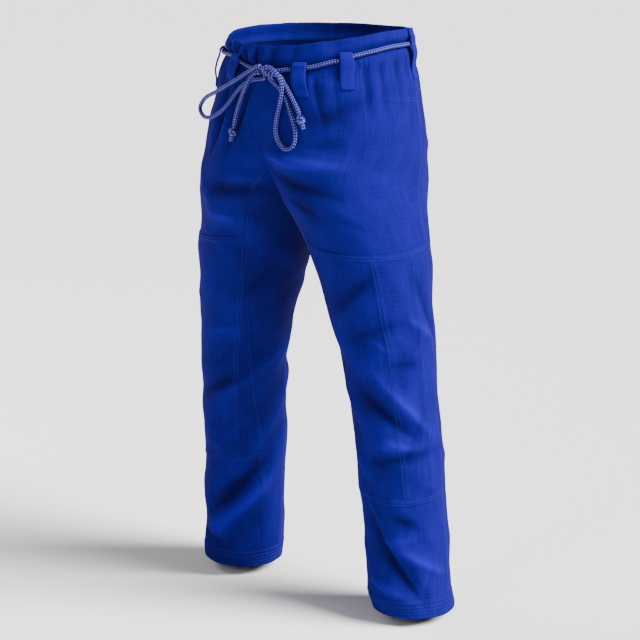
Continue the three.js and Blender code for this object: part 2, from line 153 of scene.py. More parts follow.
loops = {  # bearing, width, foot below the cord, belly and stand off the form, where it ends
    "loop_front_left": (24, 23, -44, 7, 12.6, "cord"),
    "loop_side_left": (51, 23, -48, 7, 12.6, "cord"),
    "loop_back_left": (108, 24, -56, 6, 12.6, "rim"),
    "loop_front_right": (-21, 23, -45, 8, 12.6, "cord"),
    "loop_side_right": (-51, 23, -57, 8, 12.6, "cord"),
    "loop_back_right": (-124, 24, -54, 6, 12.6, "rim"),
}

def readTable(table, at):
    # Cubic from row to row; a row's tangent is the harmonic mean of the slopes beside it.
    x, y = (np.asarray(column, float) for column in table)
    slope = np.diff(y) / np.diff(x)
    before, after = np.r_[0, slope], np.r_[slope, 0]
    both = before * after
    tangent = np.where(both > 0, 2 * both / np.where(both > 0, before + after, 1), 0)
    at = np.clip(at, x[0], x[-1])
    i = np.clip(np.searchsorted(x, at, side="right") - 1, 0, len(x) - 2)
    span = x[i + 1] - x[i]
    t = (at - x[i]) / span
    s = 1 - t
    return (s * s * (1 + 2 * t) * y[i] + t * s * s * span * tangent[i]
            + t * t * (1 + 2 * s) * y[i + 1] - t * t * s * span * tangent[i + 1])

def sectionAt(z):
    # The ellipse's middle and half widths at a height, read from the form's table.
    return [readTable((form["z"], form[name]), z) for name in ("out", "aft", "wide", "deep")]

def smoothStep(x, low, high):
    # 3 t squared less 2 t cubed, with t the share of the way from low to high.
    t = np.clip((x - low) / (high - low), 0, 1)
    return t * t * (3 - 2 * t)

def foldRelief(rows, angle, z, radius):
    # A bell curve of the distance from each fold's line, with a sharper one inside it; both sink
    # towards the line's ends and run on past them by reach.
    total = np.zeros(np.broadcast(angle, z).shape)
    reach, crest = foldLook["reach"], foldLook["crest"]
    for startAngle, startZ, endAngle, endZ, width, height in rows:
        arc = np.radians(np.mod(angle - startAngle + 180, 360) - 180) * radius
        arcEnd = np.radians(endAngle - startAngle) * radius
        rise = endZ - startZ
        t = (arc * arcEnd + (z - startZ) * rise) / (arcEnd**2 + rise**2)
        t = np.clip(t, -reach, 1 + reach)
        away = np.hypot(arc - t * arcEnd, z - startZ - t * rise) / width
        fade = 1 - foldLook["fade"] * ((2 * t - 1) / (1 + 2 * reach))**2
        bells = (1 - crest) * np.exp(-away**2) + crest * np.exp(-(away * foldLook["sharp"])**2)
        total += height * fade * foldLook["strength"] * bells
    return total

def gatherRelief(bearing, z):
    # Bell-shaped troughs that start at the cord and fade out below it, and between them a fine
    # sine wave that dies away under the cord and is calmer beside the belt loops.
    drop = readTable(cut["cord"], bearing) - 6 - z
    grow = smoothStep(drop, 0, gathers["grow"])
    fade = smoothStep(z, cut["gatherFoot"], cut["gatherFoot"] + gathers["fadeTall"])
    calm = np.ones_like(bearing)
    for at, *rest in loops.values():
        calm = np.minimum(calm, smoothStep(np.abs(bearing - at), 5, 9))
    dips = np.zeros_like(bearing)
    for at, depth in zip(gathers["angle"], gathers["depth"]):
        away = (np.abs(bearing) - at) * gathers["perDegree"] / gathers["width"]
        dips -= gathers["deeper"] * depth * np.exp(-away**2)
    arc = np.radians(bearing) * waistRadius
    drift = 2.2 * np.sin(arc / 31) + 1.3 * np.sin(arc / 17)
    ripple = np.sin(2 * np.pi * arc / gathers["finePitch"] + drift)
    close = np.exp(-np.clip(drop, 0, None) / gathers["fineTall"]) * smoothStep(drop, 0, 7)
    patchy = 0.5 + 0.5 * np.sin(arc / 23 + 1.0)
    front = 0.75 + 0.4 * smoothStep(-np.abs(bearing), -70, -25)
    fine = gathers["fine"] * ripple * close * patchy * front * (0.35 + 0.65 * calm)
    return np.where(drop > 0, dips * grow * fade * calm + fine, 0)

waves = {"legs": 2.8, "hips": 1.3, "small": 0.3}  # height of the cloth's own unevenness
shade = {"full": 9, "gathers": 1.2}  # mm of relief for the full painted shade and highlight, and the gathers' weight in them

def clothWaves(side, angle, z):
    # Three slanting trains of soft folds, bent by slower waves and let fade in places. The
    # exponential makes their ridges narrower than their hollows; whole turns meet at the back.
    turn = 0.0 if side == "left" else 2.4
    a = np.radians(angle)
    one = np.sin(z / 19 + 3 * a + 1.7 * np.sin(2 * a + z / 95 + 1 + turn) + turn)
    two = np.sin(z / 17.5 - 4 * a + 1.6 * np.sin(z / 66 - a + turn) + 2.1 * turn)
    three = np.sin(z / 8.5 + 4 * a + 1.3 * np.sin(3 * a + z / 50) + turn)
    near = 0.55 + 0.45 * np.sin(z / 105 + a + 0.7 + turn)
    far = 0.55 + 0.45 * np.sin(z / 88 - a + 2.2 + turn)
    both = 0.6 * near * (np.exp(0.9 * one) - 1.22) + 0.5 * far * (np.exp(0.9 * two) - 1.22)
    height = waves["hips"] + (waves["legs"] - waves["hips"]) * smoothStep(-z, 170, 330)
    return height * both + waves["small"] * three

def wholeRelief(side, angle, z):
    # Folds, creases and waves added up. All sink to nothing at the garment's middle plane, where
    # the two halves meet, and the waves are calm along the outseam.
    out, aft, wide, deep = sectionAt(z)
    apart = out + wide * np.sin(np.radians(angle))
    steady = 1 - 0.7 * np.exp(-((angle - cut["outseam"]) / 26)**2)
    lines = foldRelief(folds[side] + folds["both"] + creases[side] + creases["both"], angle, z, deep)
    return lines * smoothStep(apart, 0, 16) + clothWaves(side, angle, z) * steady * smoothStep(apart, 0, 30)

def relief(side, angle, z):
    # The folds below the waist, a sine of tucks at the right patch, the gathers, and a bell curve
    # of the height off the cord for the groove that it presses in.
    bearing = angle if side == "left" else -angle
    off = (z - readTable(cut["cord"], bearing)) / cinch["tall"]
    total = wholeRelief(side, angle, z) * smoothStep(-off, 0.0, 4.0)
    if side == "right":
        ripple = np.sin(np.radians(angle) * sectionAt(z)[3] / tuck["pitch"])
        total = total + tuck["height"] * ripple * np.exp(
            -((z - tuck["z"]) / tuck["tall"])**2 - ((angle - tuck["angle"]) / tuck["wide"])**2)
    return total + gatherRelief(bearing, z) - cinch["depth"] * np.exp(-off**2)

def foldShade(side, angle, z):
    # Painted shade and highlight for the colour: all relief over the full height, from -1 in a deep hollow
    # to 1 on a high ridge, less a painted shade that grows with the square of how far the cloth turns to
    # the other leg, which shades it.
    bearing = angle if side == "left" else -angle
    inwardShadeMask = (0.5 - 0.5 * np.sin(np.radians(angle)))**2 * smoothStep(-z, 150, 215)
    # Painted shade on the side that faces the other leg, strongest just below the crotch.
    paintedCrotchShade = inwardShadeMask * (0.45 * smoothStep(z, -820, -560) + 0.25 * smoothStep(z, -480, -260))
    height = wholeRelief(side, angle, z) + shade["gathers"] * gatherRelief(bearing, z)
    return np.clip(height / shade["full"] - paintedCrotchShade, -1, 1)

def formPoints(side, angle, z, lift=0.0, extra=0.0):
    # Ellipse point at an angle, moved out by the relief and by lift. Close to the garment's
    # middle plane the relief moves it fore and aft only, so that both halves still meet.
    out, aft, wide, deep = sectionAt(z)
    stand = extra + relief(side, angle, z)
    turn = np.radians(angle)
    apart = smoothStep(out + wide * np.sin(turn), 0, 14)
    x = np.maximum(out + (wide + lift + stand * apart) * np.sin(turn), cut["middleGap"] / 2)
    x = x if side == "left" else -x
    return np.stack([x, aft - (deep + lift + stand) * np.cos(turn), z + 0 * x], axis=-1)

def middleAngle(z, lift):
    # Where the ellipse, moved out by lift, meets the middle plane: an arcsine.
    out, aft, wide, deep = sectionAt(z)
    return np.degrees(np.arcsin(np.clip((cut["middleGap"] / 2 - out) / (wide + lift), -1, 1)))

def gapAngle(z):
    # Half the gap at a seam as an angle, its length over the radius.
    return np.degrees(cut["seamGap"] / 2 / sectionAt(z)[3])


# Meshes: a grid of points becomes a wall with an outer and an inner face and closed edges.
def fillMesh(name, points, faceSizes, corners, smooth, uv=None, values=None):
    # Puts whole arrays into a mesh: uv by corner, values by point; edges over 50 degrees stay sharp.
    mesh = bpy.data.meshes.new(name)
    mesh.vertices.add(len(points))
    mesh.vertices.foreach_set("co", np.ascontiguousarray(points * mm, dtype=np.float32).ravel())
    mesh.loops.add(len(corners))
    mesh.loops.foreach_set("vertex_index", np.ascontiguousarray(corners, dtype=np.int32))
    mesh.polygons.add(len(faceSizes))
    starts = np.r_[0, np.cumsum(faceSizes)[:-1]].astype(np.int32)
    mesh.polygons.foreach_set("loop_start", starts)
    mesh.polygons.foreach_set("use_smooth", np.ascontiguousarray(smooth, dtype=bool))
    if uv is not None:
        layer = mesh.uv_layers.new(name="cloth")
        layer.data.foreach_set("uv", np.ascontiguousarray(uv, dtype=np.float32).ravel())
    for key, column in (values or {}).items():
        attribute = mesh.attributes.new(key, "FLOAT", "POINT")
        attribute.data.foreach_set("value", np.ascontiguousarray(column, dtype=np.float32))
    mesh.update(calc_edges=True)
    mesh.validate()
    mesh.set_sharp_from_angle(angle=math.radians(50))
    piece = bpy.data.objects.new(name, mesh)
    bpy.context.collection.objects.link(piece)
    return piece

def evenGrid(rows, columns):
    # Two parameters from 0 to 1: v down the rows and u along them.
    return np.meshgrid(np.linspace(0, 1, rows), np.linspace(0, 1, columns), indexing="ij")

def gridQuads(slots):
    # Each cell of the grid becomes the quad of its four corners.
    corners = [slots[:-1, :-1], slots[:-1, 1:], slots[1:, 1:], slots[1:, :-1]]
    return np.stack(corners, axis=-1).reshape(-1, 4)

def wallPiece(name, outer, inner, cloth, values, ringed=False):
    # The outer grid, the inner grid turned round, and strips of faces round the edges. A sum of
    # triple products, six times the volume, is positive when the faces look outward.
    rows, columns = outer.shape[:2]
    index = np.arange(rows * columns).reshape(rows, columns)
    if ringed:
        index = np.concatenate([index, index[:, :1]], axis=1)
    wide = index.shape[1]
    slots = np.arange(rows * wide).reshape(rows, wide)
    under = slots + rows * wide
    faces = [gridQuads(slots), gridQuads(under)[:, ::-1]]
    strips = [(slots[0][::-1], under[0][::-1]), (slots[-1], under[-1])]
    if not ringed:
        strips += [(slots[:, 0], under[:, 0]), (slots[::-1, -1], under[::-1, -1])]
    edges = [np.stack([a[:-1], a[1:], b[1:], b[:-1]], axis=-1) for a, b in strips]
    quads = np.concatenate(faces + edges)
    points = np.concatenate([outer.reshape(-1, 3), inner.reshape(-1, 3)])
    vertexOf = np.concatenate([index.ravel(), index.ravel() + rows * columns])
    corner = vertexOf[quads]
    a, b, c, d = (points[corner[:, k]] for k in range(4))
    volume = np.einsum("ij,ij->i", a, np.cross(b, c)).sum() + np.einsum("ij,ij->i", a, np.cross(c, d)).sum()
    if volume < 0:
        quads = quads[:, ::-1]
        corner = corner[:, ::-1]
    flatCount = sum(len(e) for e in edges)
    smooth = np.r_[np.ones(len(quads) - flatCount, bool), np.zeros(flatCount, bool)]
    uv = np.concatenate([cloth.reshape(-1, 2)] * 2)[quads.ravel()]
    values = {key: np.concatenate([column.ravel()] * 2) for key, column in values.items()}
    return fillMesh(name, points, np.full(len(quads), 4), corner.ravel(), smooth, uv, values)

def profilePiece(name, grid, plan, values):
    # A closed profile carried along a path, with a flat cap at both ends. A sum of triple
    # products about the middle is positive when the faces look outward.
    steps, around = grid.shape[:2]
    slots = np.arange(steps * around).reshape(steps, around)
    quads = gridQuads(np.concatenate([slots, slots[:, :1]], axis=1))
    caps = [slots[0], slots[-1][::-1]]
    points = grid.reshape(-1, 3)
    a, b, c = (points[quads[:, k]] - points.mean(0) for k in range(3))
    if np.einsum("ij,ij->i", a, np.cross(b, c)).sum() < 0:
        quads = quads[:, ::-1]
        caps = [cap[::-1] for cap in caps]
    corners = np.concatenate([quads.ravel()] + caps)
    sizes = np.r_[np.full(len(quads), 4), [around, around]]
    smooth = np.r_[np.ones(len(quads), bool), [False, False]]
    values = {key: column.ravel() for key, column in values.items()}
    return fillMesh(name, points, sizes, corners, smooth, plan.reshape(-1, 2)[corners] * mm, values)

def clothPlan(points):
    # The cloth's own measure: metres along each row from its middle, and height down.
    steps = np.linalg.norm(np.diff(points, axis=1), axis=-1)
    along = np.concatenate([np.zeros((len(points), 1)), np.cumsum(steps, axis=1)], axis=1)
    along -= along[:, [(points.shape[1] - 1) // 2]]
    return np.stack([along, points[..., 2]], axis=-1) * mm

def finishPiece(piece, node, material):
    # Material, the body that carries the piece, and the CAD node that it stands for.
    piece.data.materials.append(material)
    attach(piece, "root")
    if node:
        piece.name = node + "_dressed"
        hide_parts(node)
    return piece


# Materials. The node groups give colour shades and heights; the shaders stay outside.
def groupTree(name, inputs, outputs):
    # An empty node group with the named inputs and outputs.
    tree = bpy.data.node_groups.new(name, "ShaderNodeTree")
    for label, kind in inputs:
        tree.interface.new_socket(label, in_out="INPUT", socket_type=kind)
    for label, kind in outputs:
        tree.interface.new_socket(label, in_out="OUTPUT", socket_type=kind)
    return tree, tree.nodes.new("NodeGroupInput"), tree.nodes.new("NodeGroupOutput")

def mathNode(tree, operation, *values):
    # One operation on values, each a number or another node's output.
    node = tree.nodes.new("ShaderNodeMath")
    node.operation = operation
    for socket, value in zip(node.inputs, values):
        if isinstance(value, (int, float)):
            socket.default_value = value
        else:
            tree.links.new(value, socket)
    return node.outputs[0]

def rangeNode(tree, value, low, high, toLow, toHigh, kind="SMOOTHSTEP"):
    # Carries low..high over to toLow..toHigh, by a smooth step unless told otherwise.
    node = tree.nodes.new("ShaderNodeMapRange")
    node.interpolation_type = kind
    tree.links.new(value, node.inputs["Value"])
    for label, number in (("From Min", low), ("From Max", high), ("To Min", toLow), ("To Max", toHigh)):
        node.inputs[label].default_value = number
    return node.outputs["Result"]

def noiseNode(tree, vector, scale, stretch=(1, 1, 1), detail=2.0):
    # Noise of the vector, with each axis multiplied by its stretch.
    mapping = tree.nodes.new("ShaderNodeMapping")
    mapping.inputs["Scale"].default_value = stretch
    tree.links.new(vector, mapping.inputs["Vector"])
    node = tree.nodes.new("ShaderNodeTexNoise")
    node.inputs["Scale"].default_value = scale
    node.inputs["Detail"].default_value = detail
    tree.links.new(mapping.outputs["Vector"], node.inputs["Vector"])
    return node.outputs["Fac"]

def mixColour(tree, factor, a, b):
    # a at factor 0, b at factor 1, each a colour or another node's output.
    node = tree.nodes.new("ShaderNodeMix")
    node.data_type = "RGBA"
    tree.links.new(factor, node.inputs[0])
    for socket, colour in ((node.inputs[6], a), (node.inputs[7], b)):
        if isinstance(colour, tuple):
            socket.default_value = (*colour, 1)
        else:
            tree.links.new(colour, socket)
    return node.outputs[2]

def blend(tree, a, b, share):
    # a times share plus b times the rest.
    return mathNode(tree, "ADD", mathNode(tree, "MULTIPLY", a, share),
                    mathNode(tree, "MULTIPLY", b, round(1 - share, 2)))

weaveNoise = {  # waves to the metre across and down the cloth
    "slub": (1500, 55, 1), "coarse": (330, 16, 1), "cross": (60, 1300, 1), "weft": (24, 420, 1),
    "pucker": (170, 170, 1),
}

def drillWeave():
    # Upright slubs, a steep twill line and soft patches of wear, as a shade and a height in mm.
    # Beside a sewn line each row of thread lies in a groove, between a ridge and puckers.
    tree, given, out = groupTree(
        "drillWeave", [("cloth", "NodeSocketVector"), ("seamAway", "NodeSocketFloat")],
        [("shade", "NodeSocketFloat"), ("height", "NodeSocketFloat")])
    cloth = given.outputs["cloth"]
    slub, coarse, cross, weft, pucker = (noiseNode(tree, cloth, 1.0, stretch)
                                         for stretch in weaveNoise.values())
    patches = noiseNode(tree, cloth, 1.0, (26, 14, 1), 3)
    wave = tree.nodes.new("ShaderNodeTexWave")
    wave.bands_direction = "DIAGONAL"
    wave.inputs["Scale"].default_value = 210
    wave.inputs["Distortion"].default_value = 0.8
    tree.links.new(cloth, wave.inputs["Vector"])
    streaks = blend(tree, slub, coarse, 0.45)
    tone = blend(tree, blend(tree, streaks, weft, 0.7), patches, 0.72)
    away = mathNode(tree, "ABSOLUTE", given.outputs["seamAway"])
    edge = rangeNode(tree, away, 1.0, 6.5, 0.10, 0.0)
    tone = mathNode(tree, "ADD", tone, mathNode(tree, "MULTIPLY", edge, cross))
    weave = mathNode(tree, "ADD", mathNode(tree, "MULTIPLY", streaks, 0.16),
                     mathNode(tree, "ADD", mathNode(tree, "MULTIPLY", cross, 0.06),
                              mathNode(tree, "MULTIPLY", wave.outputs["Fac"], 0.035)))
    row = mathNode(tree, "ABSOLUTE", mathNode(tree, "SUBTRACT", away, rowOff))
    groove = rangeNode(tree, row, 0.0, 1.1, -0.32, 0.0)
    ridge = rangeNode(tree, away, 4.6, 6.0, 0.34, 0.0)
    puckers = mathNode(tree, "MULTIPLY", rangeNode(tree, away, 2.0, 13.0, 1.3, 0.0), pucker)
    lying = mathNode(tree, "ADD", mathNode(tree, "ADD", groove, ridge), puckers)
    tree.links.new(tone, out.inputs["shade"])
    tree.links.new(mathNode(tree, "ADD", weave, lying), out.inputs["height"])
    return tree

weaveGroup = drillWeave()

def newMaterial(name):
    # A material with its node tree and its shader.
    material = bpy.data.materials.new(name)
    material.use_nodes = True
    tree = material.node_tree
    return material, tree, tree.nodes["Principled BSDF"]

def bumpInto(tree, shader, height):
    # The height, in mm, tilts the shading normal.
    bump = tree.nodes.new("ShaderNodeBump")
    bump.inputs["Distance"].default_value = mm
    bump.inputs["Strength"].default_value = 1.0
    tree.links.new(height, bump.inputs["Height"])
    tree.links.new(bump.outputs["Normal"], shader.inputs["Normal"])

def clothUv(tree):
    # The cloth's own measure, in metres.
    node = tree.nodes.new("ShaderNodeUVMap")
    node.uv_map = "cloth"
    return node.outputs["UV"]

def pointValue(tree, name):
    # The number that the mesh holds at each point under this name.
    node = tree.nodes.new("ShaderNodeAttribute")
    node.attribute_name = name
    return node.outputs["Fac"]

drill = {  # the weave's two blues, then what painted shade in a deep hollow and a painted highlight on a high ridge make of them
    "dark": (0.0040, 0.0015, 0.074), "light": (0.0078, 0.0034, 0.160), "paintedHollowShade": 0.3, "ridge": 1.5,
    "roughness": 0.9,
}

def drillMaterial(name, lighter=1.0):
    # The weave's shade mixes dark and light; painted shade mixes a deeper blue into the hollows and a
    # painted highlight a lighter blue onto the ridges.
    material, tree, shader = newMaterial(name)
    weave = tree.nodes.new("ShaderNodeGroup")
    weave.node_tree = weaveGroup
    tree.links.new(clothUv(tree), weave.inputs["cloth"])
    tree.links.new(pointValue(tree, "seamAway"), weave.inputs["seamAway"])
    dark, light = (tuple(c * lighter for c in drill[tone]) for tone in ("dark", "light"))
    # Darker blue for the painted shade in hollows, lighter blue for the painted highlight on ridges.
    deep = tuple(c * drill["paintedHollowShade"] for c in dark)
    highlightBlue = tuple(c * drill["ridge"] for c in light)
    factor = rangeNode(tree, weave.outputs["shade"], 0.36, 0.66, 0.0, 1.0, "LINEAR")
    # foldShade paints shade into the hollows and light onto the ridges.
    fold = pointValue(tree, "foldShade")
    paintedHollowShade = rangeNode(tree, fold, -1.0, 0.15, 0.75, 0.0)
    paintedRidgeHighlight = rangeNode(tree, fold, 0.1, 1.0, 0.0, 0.8)
    shaded = mixColour(tree, paintedHollowShade, mixColour(tree, factor, dark, light), deep)
    tree.links.new(mixColour(tree, paintedRidgeHighlight, shaded, highlightBlue), shader.inputs["Base Color"])
    shader.inputs["Roughness"].default_value = drill["roughness"]
    shader.inputs["Specular IOR Level"].default_value = 0.05
    bumpInto(tree, shader, weave.outputs["height"])
    return material

def threadMaterial():
    # Noise along the thread mixes two blues a little lighter than the cloth.
    material, tree, shader = newMaterial("blueThread")
    where = tree.nodes.new("ShaderNodeTexCoord")
    twist = noiseNode(tree, where.outputs["Object"], 900)
    colour = mixColour(tree, twist, (0.005, 0.006, 0.135), (0.009, 0.010, 0.205))
    tree.links.new(colour, shader.inputs["Base Color"])
    shader.inputs["Roughness"].default_value = 0.6
    shader.inputs["Specular IOR Level"].default_value = 0.2
    return material

braid = {"blue": (0.002, 0.001, 0.05), "pale": (0.11, 0.11, 0.7), "picks": 3, "pitch": 4.4}

def cordMaterial():
    # Two sets of strands wind opposite ways; where both waves have one sign the fleck is pale.
    material, tree, shader = newMaterial("braidedCord")
    uv = clothUv(tree)
    split = tree.nodes.new("ShaderNodeSeparateXYZ")
    tree.links.new(uv, split.inputs[0])
    around = mathNode(tree, "MULTIPLY", split.outputs[0], 2 * math.pi * braid["picks"])
    along = mathNode(tree, "MULTIPLY", split.outputs[1], 2 * math.pi / (braid["pitch"] * mm) / 2)
    one = mathNode(tree, "SINE", mathNode(tree, "ADD", around, along))
    two = mathNode(tree, "SINE", mathNode(tree, "SUBTRACT", around, along))
    both = mathNode(tree, "MULTIPLY", one, two)
    fuzz = mathNode(tree, "MULTIPLY", noiseNode(tree, uv, 1.0, (9, 900, 1)), 0.25)
    fleck = rangeNode(tree, mathNode(tree, "ADD", both, fuzz), 0.45, 0.7, 0, 1)
    tree.links.new(mixColour(tree, fleck, braid["blue"], braid["pale"]), shader.inputs["Base Color"])
    shader.inputs["Roughness"].default_value = 0.6
    shader.inputs["Specular IOR Level"].default_value = 0.25
    height = mathNode(tree, "MULTIPLY", mathNode(tree, "POWER", mathNode(tree, "ABSOLUTE", both), 0.5), 0.7)
    bumpInto(tree, shader, height)
    return material

panelDrill = drillMaterial("cottonDrill")
patchDrill = drillMaterial("cottonDrillPatch", 1.03)
bandDrill = drillMaterial("cottonDrillBand")
# The belt loops take the same cloth 1.4 times lighter: painted light that makes them brighter than the
# panels.
strapDrill = drillMaterial("cottonDrillStrap", 1.4)
blueThread = threadMaterial()
ropeBraid = cordMaterial()
print("materials made")


# Drawcord: a tube along a smooth route, with its own measure for the braid.
rope = {"radius": 3.4, "sides": 20, "step": 1.2, "lift": 5.75}
knot = {  # ways out of the knot on the wearer's left; those on the right are mirrored
    "middle": (21, -159, -10), "reach": 9,
    "ways": {"waist": (0.8, 0.6, 0), "loopOut": (0.7, -0.45, 0.55), "loopBack": (0.42, 0.2, -0.88),
             "tail": (0.9, -0.35, -0.25)},
}
bow = {
    "left": [(46, -166, -9), (53, -164, -18), (57, -163, -30), (56, -163, -45), (50, -162, -67),
             (44, -161, -87), (42, -161, -107), (49, -162, -122), (64, -162, -132), (77, -160, -127),
             (80, -157, -112), (77, -156, -94), (70, -156, -76), (60, -155, -55), (50, -155, -40),
             (40, -156.5, -31)],
    "right": [(-8, -168, -12), (-36, -171, -29), (-82, -165, -51), (-126, -149, -70), (-139, -145, -86),
              (-121, -155, -97), (-101, -159, -96), (-80, -160, -86), (-60, -159, -68), (-43, -158, -49),
              (-28, -158, -36), (-14, -157, -29), (0, -157, -25.5)],
}
tails = {
    "left": [(46, -155.5, -17), (55, -154.5, -28), (64, -154, -40), (74, -153.5, -55), (84, -154, -70),
             (87, -154.5, -76)],
    "right": [(-1, -161.5, -15), (-9, -164, -22), (-15, -165.5, -33), (-28, -163.5, -54),
              (-40, -163, -82), (-46, -164.5, -107)],
}

def unit(v):
    # Vectors over their own lengths.
    v = np.asarray(v, float)
    return v / np.linalg.norm(v, axis=-1, keepdims=True)

def knotWay(name, sign):
    # The unit vector of a way out, mirrored where sign is -1.
    x, y, z = knot["ways"][name]
    return unit((x * sign, y, z))

def knotPort(name, sign):
    # Two points on a way out, one at the knot's skin and one 5 mm further.
    skin = knot["reach"] + cut["seamGap"]
    return [tuple(np.array(knot["middle"]) + knotWay(name, sign) * (skin + out)) for out in (0, 5)]

def smoothRoute(points, step):
    # Curve through the points whose tangents weigh each side by the root of its length.
    p = np.asarray(points, float)
    p = np.concatenate([[2 * p[0] - p[1]], p, [2 * p[-1] - p[-2]]])
    d = np.sqrt(np.linalg.norm(np.diff(p, axis=0), axis=1))[:, None]
    p0, p1, p2, p3 = p[:-3], p[1:-2], p[2:-1], p[3:]
    d0, d1, d2 = d[:-2], d[1:-1], d[2:]
    t1 = ((p1 - p0) / d0 - (p2 - p0) / (d0 + d1) + (p2 - p1) / d1) * d1
    t2 = ((p2 - p1) / d1 - (p3 - p1) / (d1 + d2) + (p3 - p2) / d2) * d1
    t = np.linspace(0, 1, 24, endpoint=False)[None, :, None]
    a, b, c, e = (q[:, None, :] for q in (p1, t1, p2, t2))
    fine = ((2 * t**3 - 3 * t**2 + 1) * a + (t**3 - 2 * t**2 + t) * b
            + (3 * t**2 - 2 * t**3) * c + (t**3 - t**2) * e).reshape(-1, 3)
    fine = np.concatenate([fine, p[-2:-1]])
    along = np.r_[0, np.cumsum(np.linalg.norm(np.diff(fine, axis=0), axis=1))]
    even = np.linspace(0, along[-1], max(4, int(round(along[-1] / step)) + 1))
    return np.stack([np.interp(even, along, fine[:, k]) for k in range(3)], axis=-1), along[-1]

def tubeArrays(route, radius, sides, facing, taper=True):
    # A circle carried along the route; its first point faces the way that facing gives, and with
    # taper the last 1.6 mm at both ends are rounded off.
    tangent = unit(np.gradient(route, axis=0))
    facing = np.broadcast_to(np.asarray(facing, float), route.shape)
    up = unit(facing - (facing * tangent).sum(-1, keepdims=True) * tangent)
    across = np.cross(tangent, up)
    along = np.r_[0, np.cumsum(np.linalg.norm(np.diff(route, axis=0), axis=1))]
    end = np.minimum(along, along[-1] - along)
    cutEnd = 1 - np.clip(end / 1.6, 0, 1)
    size = radius * (np.sqrt(1 - cutEnd**2 * 0.55) if taper else np.ones_like(along))
    theta = np.linspace(0, 2 * np.pi, sides, endpoint=False)
    ring = route[:, None] + size[:, None, None] * (np.cos(theta)[None, :, None] * up[:, None]
                                                   + np.sin(theta)[None, :, None] * across[:, None])
    rows = len(route)
    index = np.arange(rows * sides).reshape(rows, sides)
    slot = np.concatenate([index, index[:, :1]], axis=1)
    quads = np.stack([slot[:-1, :-1], slot[1:, :-1], slot[1:, 1:], slot[:-1, 1:]], axis=-1).reshape(-1, 4)
    u = np.linspace(0, 1, sides + 1)
    plan = np.stack(np.broadcast_arrays(u[None, :], along[:, None] * mm), axis=-1)
    uv = np.stack([plan[:-1, :-1], plan[1:, :-1], plan[1:, 1:], plan[:-1, 1:]], axis=2).reshape(-1, 4, 2)
    caps = [index[0], index[-1][::-1]]
    return ring.reshape(-1, 3), quads, uv, caps, plan

def tubePiece(name, tubes):
    # Several tubes joined in one mesh, each closed by a flat cap at both ends.
    points, sizes, corners, uvs, smooth = [], [], [], [], []
    start = 0
    for ring, quads, uv, caps, plan in tubes:
        points.append(ring)
        sizes += [np.full(len(quads), 4)] + [np.array([len(cap)]) for cap in caps]
        corners += [quads.ravel() + start] + [cap + start for cap in caps]
        uvs += [uv.reshape(-1, 2), plan[0, :-1], plan[-1, :-1][::-1]]
        smooth += [np.ones(len(quads), bool), np.zeros(2, bool)]
        start += len(ring)
    return fillMesh(name, np.concatenate(points), np.concatenate(sizes), np.concatenate(corners),
                    np.concatenate(smooth), np.concatenate(uvs))

def ropePiece(name, controls, facing):
    # A tube of the rope's radius along the smooth route through the controls.
    route, length = smoothRoute(controls, rope["step"])
    piece = tubePiece(name, [tubeArrays(route, rope["radius"], rope["sides"], facing)])
    finishPiece(piece, name, ropeBraid)
    return piece, route, length * mm

def wrap(bearing):
    # Bearings from 0 to 360 become bearings from -180 to 180.
    return np.where(bearing > 180, bearing - 360, bearing)

def waistPoints(bearing, z, lift):
    # As formPoints, but right round the waist by bearing from 0 to 360.
    turned = wrap(bearing)
    half = np.abs(turned)
    out, aft, wide, deep = sectionAt(z)
    stand = lift + np.where(turned >= 0, relief("left", half, z), relief("right", half, z))
    turn = np.radians(bearing)
    x = (wide + stand) * np.sin(turn)
    return np.stack([x, aft - (deep + stand) * np.cos(turn), z + 0 * turn], axis=-1)

def makeCords():
    # Round the waist on the form, moved out by lift; the bow and the tails by their own routes.
    bearing = np.linspace(16, 358, 61)[1:]
    waistRoute = waistPoints(bearing, readTable(cut["cord"], wrap(bearing)), rope["lift"])
    waistRoute = [tuple(p) for p in waistRoute]
    controls = knotPort("waist", 1) + waistRoute + knotPort("waist", -1)[::-1]
    ropePiece("drawcord_waist", controls, (0, 0, 1))
    for side, sign in (("left", 1), ("right", -1)):
        controls = knotPort("loopOut", sign) + bow[side] + knotPort("loopBack", sign)[::-1]
        piece, route, length = ropePiece(f"bow_loop_{side}", controls, (0, -1, 0))
        controls = knotPort("tail", sign) + tails[side]
        piece, route, length = ropePiece(f"tail_{side}", controls, (0, -1, 0))
        stopper = endKnot(side, route)

def endKnot(side, tailRoute):
    # A three-lobed closed knot round the tail's line, with the cut end hanging out below.
    start = tailRoute[-1]
    way = unit(tailRoute[-1] - tailRoute[-6])
    across = unit(np.cross(way, (0.2, 1, 0.1)))
    beside = np.cross(way, across)
    t = np.linspace(0, 2 * np.pi, 90)
    x = (np.sin(t) + 2 * np.sin(2 * t)) * 1.55
    y = (np.cos(t) - 2 * np.cos(2 * t)) * 1.55
    along = 7.6 - 3.4 * np.sin(3 * t)
    lobes = start + x[:, None] * across + y[:, None] * beside + along[:, None] * way
    outward = x[:, None] * across + y[:, None] * beside + 0.3 * way
    stub = start + np.linspace(0.5, 23.5, 20)[:, None] * way
    piece = tubePiece(f"end_knot_{side}", [tubeArrays(lobes, 3.3, 16, outward, taper=False),
                                           tubeArrays(stub, 3.6, 16, (0, -1, 0))])
    return finishPiece(piece, f"end_knot_{side}", ropeBraid)

